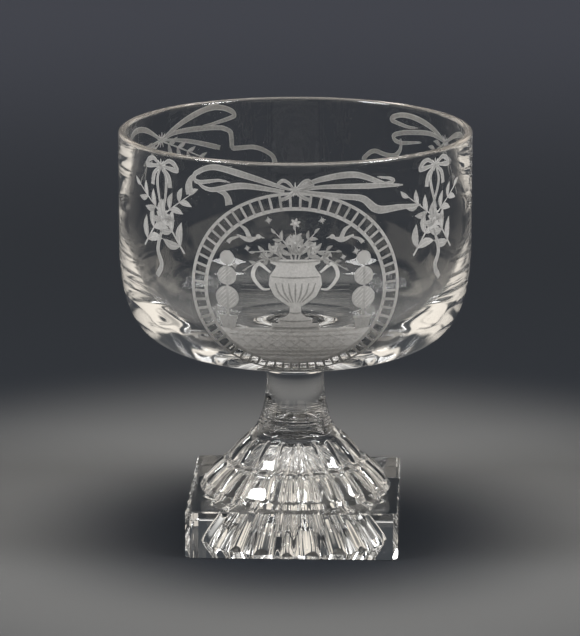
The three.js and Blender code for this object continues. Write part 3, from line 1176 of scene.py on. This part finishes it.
border = new_drawing()
for radii, width, tone in ((OVAL_OUTER, 0.95, 0.5), (OVAL_INNER, 1.1, 0.55)):
    for half in (0, math.pi):
        turn = [half + math.pi * k / OVAL_STEPS for k in range(OVAL_STEPS + 1)]
        stroke(border, [oval_point(radii, angle) for angle in turn], [width, width * 1.1, width], tone)
for k in range(RUNG_COUNT):
    angle = 2 * math.pi * (k + 0.5) / RUNG_COUNT
    ends = [oval_point(OVAL_INNER, angle), oval_point(OVAL_OUTER, angle)]
    stroke(border, ends, [0.75, 0.85, 0.7], RUNG_TONE + RUNG_UNEVEN * math.sin(k * 2.4))
engrave("engraved_border", border)

# %% The mound: the lower part of the oval, with a low crown
MOUND_TOP = 81.4
MOUND_CROWN = 1.0
MOUND_SIDE_STEPS = 30
MOUND_TOP_STEPS = 12
picture = new_drawing()
mound_share = (MOUND_TOP - OVAL_CENTRE.y) / OVAL_INNER[1]
mound_half = OVAL_INNER[0] * math.sqrt(1 - mound_share**2)
mound_start = math.acos(mound_share)
mound_turn = 2 * math.pi - 2 * mound_start
mound = []
for k in range(MOUND_SIDE_STEPS + 1):
    mound.append(oval_point(OVAL_INNER, mound_start + mound_turn * k / MOUND_SIDE_STEPS))
for k in range(1, MOUND_TOP_STEPS):
    height = MOUND_TOP + MOUND_CROWN * math.sin(math.pi * k / MOUND_TOP_STEPS)
    mound.append(Vector((mound_half * (k / (MOUND_TOP_STEPS / 2) - 1), height)))
# The mound takes the palest tone. It is partly its own matt white and partly painted light, which
# makes up for the little light its down-facing curve gets.
patch(picture, mound, 1.0, MOUND_LIFT)
print("mound:", round(2 * mound_half, 1), "mm wide")

# %% The cross-hatching on the mound
HATCH_PITCH = 2.5
HATCH_SLOPES = (math.radians(38), math.radians(142))
HATCH_MIDDLE = Vector((0, 73))
HATCH_LINES = 16
HATCH_REACH = 45
HATCH_LEAST = 4
HATCH_INSIDE = 0.97
HATCH_BELOW = 0.3


def in_mound(spot):
    """Whether a point is on the mound, a little inside its outline."""
    share = spot - OVAL_CENTRE
    in_oval = (share.x / OVAL_INNER[0]) ** 2 + (share.y / OVAL_INNER[1]) ** 2 < HATCH_INSIDE
    top = MOUND_TOP + MOUND_CROWN * math.cos(spot.x / mound_half * math.pi / 2)
    return in_oval and spot.y < top - HATCH_BELOW


hatch_count = 0
for slope in HATCH_SLOPES:
    run = Vector((math.cos(slope), math.sin(slope)))
    over = Vector((-run.y, run.x))
    for k in range(-HATCH_LINES, HATCH_LINES + 1):
        start = HATCH_MIDDLE + over * HATCH_PITCH * k
        line = [start + run * along for along in range(-HATCH_REACH, HATCH_REACH + 1)]
        held = [spot for spot in line if in_mound(spot)]
        if len(held) >= HATCH_LEAST:
            stroke(picture, [held[0], held[len(held) // 2], held[-1]], [0.26, 0.42, 0.26], 0.85)
            hatch_count += 1
print("hatching:", hatch_count, "lines")

# %% The urn on its step
URN_TONE = 0.74
URN_DARK = 0.3
URN_BAND_TONE = 0.35
URN_HALF = [
    (7.6, 81.6), (7.6, 84.0), (5.4, 84.0), (5.4, 85.6), (3.4, 86.0), (1.9, 87.4), (1.7, 89.6),
    (3.4, 90.6), (6.6, 93.0), (8.4, 96.6), (8.0, 99.6), (6.4, 101.8), (6.0, 102.8), (7.8, 103.6),
    (7.8, 104.8),
]
URN_HANDLE = [(7.8, 100.6), (11.6, 103.2), (13.4, 99.4), (10.6, 95.4), (8.0, 95.2)]
for side in (-1, 1):
    stroke(picture, on_side(side, URN_HANDLE), [0.6, 1.2, 1.3, 1.0, 0.5], 0.85)
urn = [*URN_HALF, *on_side(-1, reversed(URN_HALF))]
patch(picture, urn, URN_TONE, URN_LIFT)
for k in range(-3, 4):
    stroke(picture, [(k * 0.7, 91.0), (k * 1.7, 94.0), (k * 2.1, 97.2)], [0.25, 0.6, 0.3], URN_DARK)
for height, half, width in (
    (84.9, 5.0, 0.5), (87.6, 2.0, 0.6), (99.2, 7.6, 0.6), (104.2, 7.6, 0.7), (82.6, 7.2, 0.5),
):
    band = [(-half, height), (0, height - 0.25), (half, height)]
    stroke(picture, band, [0.3, width, 0.3], URN_BAND_TONE)
print("urn:", len(URN_HALF), "corners a side")

# %% Flowers and leaves in the urn
FLOWER_TONE = 0.6
FLOWERS = (
    ((0, 110.2), 2.6, 8), ((-5.4, 108.4), 2.1, 7), ((5.4, 108.4), 2.1, 7), ((-9.4, 105.6), 1.5, 6),
    ((9.4, 105.6), 1.5, 6), ((0, 116.4), 1.6, 6),
)
for side in (-1, 1):
    for stem, count, length, width, tone in (
        ([(1.0, 104.8), (2.4, 109.0), (6.0, 113.0)], 3, 4.6, 1.7, 0.4),
        ([(3.0, 104.8), (7.4, 107.2), (12.6, 107.0)], 3, 4.2, 1.6, 0.36),
        ([(6.6, 104.8), (10.6, 104.4), (15.4, 101.6)], 2, 3.4, 1.4, 0.32),
    ):
        spray(picture, on_side(side, stem), count, length, width, tone)
spray(picture, [(0, 104.8), (0.4, 109.5), (0, 114.0)], 3, 4.2, 1.6, 0.42)
for centre, radius, petals in FLOWERS:
    rosette(picture, centre, radius, petals, FLOWER_TONE)
print("flowers in the urn:", len(FLOWERS))

# %% The trimmed trees in their pots: a tree is three balls with slanting cuts
TREE_PLACE = 22.0
TREE_BALLS = ((91.8, 3.9), (98.8, 3.2), (104.6, 2.4))
BALL_FLATNESS = 0.94
BALL_TONE = 0.56
BALL_CUTS = 3
BALL_CUT_PARTS = 5.6
BALL_CUT_REACH = 0.8
DIAGONAL = 0.7


def ball(bm, centre, radius):
    """A trimmed ball of leaves with slanting cuts across it."""
    disc(bm, centre, (radius, radius * BALL_FLATNESS), BALL_TONE)
    for k in range(-BALL_CUTS, BALL_CUTS + 1):
        reach = radius * math.sqrt(1 - (k / (BALL_CUTS + 1)) ** 2) * BALL_CUT_REACH
        middle = Vector(centre) + Vector((k, -k)) * radius / BALL_CUT_PARTS
        run = Vector((reach, reach)) * DIAGONAL
        stroke(bm, [middle - run, middle + run], [HAIR, 0.3, HAIR], 0.85)


for side in (-1, 1):
    u = side * TREE_PLACE
    stroke(picture, [(u, 85.0), (u + 0.2, 92.0), (u, 104.0)], [0.9, 0.8, 0.6], 0.5)
    patch(picture, [(u - 2.2, 81.4), (u + 2.2, 81.4), (u + 3.0, 85.6), (u - 3.0, 85.6)], 0.5)
    stroke(picture, [(u - 3.2, 85.4), (u + 3.2, 85.4)], [0.8, 0.8], 0.8)
    for height, radius in TREE_BALLS:
        ball(picture, (u, height), radius)
print("a tree has", len(TREE_BALLS), "balls")

# %% Birds, stars and the lines of the sky
BIRD = (
    ([(11.8, 111.6), (15.0, 110.8), (18.6, 112.2)], [0.5, 1.7, 1.2, 0.3], 0.55),
    ([(14.4, 111.2), (15.8, 114.0), (18.4, 115.6)], [1.5, 1.3, 0.2], 0.5),
    ([(17.4, 111.8), (20.6, 110.6), (21.6, 109.4)], [0.5, 0.9, 1.4], 0.45),
)
SKY_LINES = 9
SKY_LINE_LOW = 84.2
SKY_LINE_PITCH = 1.5
SKY_LINE_START = 10.2
SKY_LINE_SHIFT = 0.3
SKY_LINE_TONE = 0.12
for side in (-1, 1):
    for points, widths, tone in BIRD:
        stroke(picture, on_side(side, points), widths, tone)
    disc(picture, (side * 11.6, 111.9), (0.85, 0.75), 0.6, 16)
    stroke(picture, on_side(side, [(10.9, 111.9), (9.7, 111.5)]), [0.4, HAIR], 0.7)
    star(picture, (side * 19.4, 104.6 + 2.2 * side), 1.3, 0.65)
    star(picture, (side * 8.4, 117.2), 1.2, 0.6)
    star(picture, (side * 15.2, 106.6 - 1.4 * side), 1.0, 0.6)
for k in range(SKY_LINES):
    height = SKY_LINE_LOW + SKY_LINE_PITCH * k
    start = SKY_LINE_START - SKY_LINE_SHIFT * k % 2
    line = [(start, height), (13.4, height + 0.1), (17.2, height)]
    for side in (-1, 1):
        stroke(picture, on_side(side, line), [HAIR, 0.22, HAIR], SKY_LINE_TONE)
engrave("engraved_picture", picture)

# %% [markdown]
# ## Ribbons and leaf sprays
#
# A ribbon is tied over the oval and runs to a bow on each side. From each bow hangs a pair of
# crossed leaf sprays with a flower where they meet. More ribbon is tied at the back, and is
# seen through the glass. A ribbon is a broad matt stroke with two pale edge cuts.

# %% Helpers: ribbons and knots
RIBBON_TONE = 0.34
RIBBON_EDGE_EVERY = 3
KNOT_TONE = 0.5
KNOT_CUTS = 9
KNOT_TURN_DEGREES = 12
CUT_PALER = 0.3


def ribbon(bm, points, widths):
    """A matt band with a pale cut along each edge."""
    stroke(bm, points, widths, RIBBON_TONE)
    path = smooth_path(points)
    last = len(path) - 1
    for side in (-1, 1):
        edge = []
        for i in range(0, last + 1, RIBBON_EDGE_EVERY):
            run = (path[min(i + 1, last)] - path[max(i - 1, 0)]).normalized()
            reach = side * width_along(widths, i / last) / 2
            edge.append((path[i].x - run.y * reach, path[i].y + run.x * reach))
        stroke(bm, edge, [0.2, 0.28, 0.2], RIBBON_TONE + CUT_PALER)


def knot(bm, centre, size):
    """A small tied knot with short cuts that fan out of it."""
    disc(bm, centre, (size, size * 0.8), KNOT_TONE, 20)
    for k in range(KNOT_CUTS):
        angle = math.radians(360 / KNOT_CUTS * k + KNOT_TURN_DEGREES)
        run = Vector((math.cos(angle), math.sin(angle))) * size
        start = Vector(centre) + run * 0.5
        stroke(bm, [start, start + run * 1.5], [0.3, 0.35, HAIR], KNOT_TONE + CUT_PALER)


print("helpers: ribbon, knot")

# %% The ribbon over the oval
FRONT_RIBBONS = (
    (
        [
            (-3.4, 127.6), (-16, 131.2), (-26.5, 133), (-33.4, 130), (-32.2, 127.8), (-24.5, 129),
            (-20.8, 128.6),
        ],
        [0.8, 1.5, 1.9, 1.6, 1.2, 1.0, 0.3],
    ),
    ([(-3.4, 126.4), (-16.5, 127.8), (-28, 125.8), (-33.6, 128.6)], [0.8, 1.4, 1.8, 1.2, 0.4]),
    ([(-33.6, 129.8), (-35.6, 127), (-35.2, 123.4)], [0.8, 1.6, 2.4, 3.0]),
    ([(-27, 126.2), (-22.4, 124.8), (-21.2, 121.4)], [0.5, 1.4, 2.2]),
    (
        [(1.2, 127.6), (8, 130.2), (19, 131.2), (29.6, 127.4), (32.4, 128.6), (26.5, 130)],
        [0.8, 1.5, 1.8, 1.4, 1.0, 0.3],
    ),
    ([(1.2, 127), (10, 127.8), (25.5, 127.2), (36, 126.4)], [0.6, 1.2, 1.5, 0.5]),
    (
        [(1.2, 126.6), (14.3, 124.6), (21.5, 123.4), (26.6, 119.6), (34.6, 119.4), (43.5, 119)],
        [0.6, 1.3, 1.6, 2.4, 1.6, 0.6],
    ),
)
FRONT_LOOPS = (
    ([(0.6, 127.4), (3.2, 130), (5.4, 128.6), (1.2, 126.8)], [0.5, 0.9, 0.9, 0.4]),
    ([(0.4, 126.4), (2.2, 124.6), (4.6, 123.8)], [0.4, 0.8, 1.3]),
)
front_ribbons = new_drawing()
for points, widths in FRONT_RIBBONS:
    ribbon(front_ribbons, points, widths)
for side in (-1, 1):
    for points, widths in FRONT_LOOPS:
        ribbon(front_ribbons, on_side(side, points), widths)
knot(front_ribbons, (0, 127.1), 1.2)
engrave("engraved_front_ribbons", front_ribbons)

# %% The crossed sprays at the sides of the oval
SPRAY_LEAVES = 5
SPRAY_LEAF = (8.2, 3.0)


def hung_sprays(name, middle, bow, flip):
    """Two crossed leaf sprays with a flower, hung from a bow. Flip turns the ribbons' sway."""
    bm = new_drawing()
    u, v = middle
    bow_u, bow_v = bow
    half_way = (bow_v + v) / 2
    for sway, rise, end in ((-1.8, 3, -1), (2.4, 4, 1)):
        ribbon(bm, [bow, (bow_u + sway * flip, half_way + rise), (u + end, v + 3)], [0.5, 0.9, 0.5])
    for side, tone in ((-1, 0.4), (1, 0.46)):
        stem = [(u - side * 9.5, v - 11), (u - side, v - 1), (u + side * 11.5, v + 8)]
        spray(bm, stem, SPRAY_LEAVES, *SPRAY_LEAF, tone)
    rosette(bm, (u, v - 1), 3.4, 8, 0.62)
    for side in (-1, 1):
        loop = [bow, (bow_u + side * 4.4, bow_v + 2.0), (bow_u + side * 7.2, bow_v - 0.6), bow]
        ribbon(bm, loop, [0.4, 1.3, 1.4, 0.4])
        tail = [bow, (bow_u + side * 3.4, bow_v - 3.0), (bow_u + side * 4.2, bow_v - 6.6)]
        ribbon(bm, tail, [0.4, 1.2, 1.8])
    knot(bm, bow, 1.1)
    streamer = [(u, v - 4), (u - 2.4 * flip, v - 11), (u - 0.6 * flip, v - 16), (u - 3 * flip, v - 20)]
    ribbon(bm, streamer, [0.5, 1.2, 1.4, 1.8])
    engrave(name, bm)


hung_sprays("engraved_left_sprays", middle=(-47.0, 115.0), bow=(-47.6, 131.0), flip=1)
hung_sprays("engraved_right_sprays", middle=(50.0, 114.0), bow=(50.4, 131.0), flip=-1)

# %% Helper: a tie at the back, of ribbons and two leaf sprays from one knot
TIE_KNOT = 1.3


def back_tie(name, place, ribbons, sprays):
    """Engraves ribbons and leaf sprays that are tied together at one place."""
    bm = new_drawing()
    for points, widths in ribbons:
        ribbon(bm, points, widths)
    for points, length, width in sprays:
        spray(bm, points, 4, length, width, 0.4)
    knot(bm, place, TIE_KNOT)
    engrave(name, bm)


print("helper: back_tie")

# %% The tie at the back left
LEFT_TIE = (-128, 124.8)
LEFT_TIE_RIBBONS = (
    (
        [
            LEFT_TIE, (-139.5, 129.8), (-149.4, 132.8), (-156, 132.2), (-159.2, 129.6), (-152, 127.6),
            (-146, 127),
        ],
        [0.6, 1.4, 1.8, 1.6, 1.4, 1.0, 0.3],
    ),
    (
        [
            LEFT_TIE, (-137, 126.4), (-155, 125.6), (-158.2, 122), (-158.6, 118.6), (-167, 118.2),
            (-173.2, 114.4), (-172.4, 108.4),
        ],
        [0.6, 1.3, 1.6, 1.3, 1.4, 1.3, 1.2, 1.8],
    ),
    ([LEFT_TIE, (-141, 122.6), (-153.8, 119)], [0.5, 1.2, 1.6]),
    ([LEFT_TIE, (-118, 129.6), (-108, 130.4), (-98, 126.8), (-88, 127.8)], [0.6, 1.6, 1.8, 1.4, 0.8]),
    ([LEFT_TIE, (-119, 123.6), (-108, 125.4), (-98, 122.4)], [0.6, 1.2, 1.6, 2.0]),
)
LEFT_TIE_SPRAYS = (
    ([(-129, 124), (-138, 120.4), (-149.6, 115.2)], 5.0, 1.9),
    ([(-127, 124), (-118, 118.4), (-108, 112.4)], 6.4, 2.4),
)
back_tie("engraved_back_left", LEFT_TIE, LEFT_TIE_RIBBONS, LEFT_TIE_SPRAYS)

# %% The tie at the back right
RIGHT_TIE = (118, 125.6)
RIGHT_TIE_RIBBONS = (
    (
        [
            RIGHT_TIE, (126, 129), (135, 131.2), (141.7, 131.4), (145.7, 129.5), (139, 127.8),
            (133.6, 128),
        ],
        [0.6, 1.4, 1.7, 1.5, 1.3, 1.0, 0.3],
    ),
    (
        [RIGHT_TIE, (127.5, 127), (140.6, 125.5), (144.7, 123.8), (142, 122), (132, 123.3)],
        [0.6, 1.3, 1.5, 1.3, 1.1, 0.4],
    ),
    (
        [
            (141.7, 123.3), (141.6, 120), (144, 117.4), (148, 117.2), (152.7, 118), (156.3, 115),
            (155.4, 112),
        ],
        [0.5, 1.1, 1.3, 1.2, 1.3, 1.2, 1.7],
    ),
    ([RIGHT_TIE, (108, 129.8), (98, 130.4), (88, 127.2)], [0.6, 1.6, 1.8, 0.8]),
    ([RIGHT_TIE, (109, 123.8), (99, 125.2), (90, 122.6)], [0.6, 1.2, 1.6, 2.0]),
)
RIGHT_TIE_SPRAYS = (
    ([(119, 124.8), (126, 120.6), (134, 114.6)], 5.0, 1.9),
    ([(117, 124.8), (108, 118.6), (99, 112.4)], 6.4, 2.4),
)
back_tie("engraved_back_right", RIGHT_TIE, RIGHT_TIE_RIBBONS, RIGHT_TIE_SPRAYS)
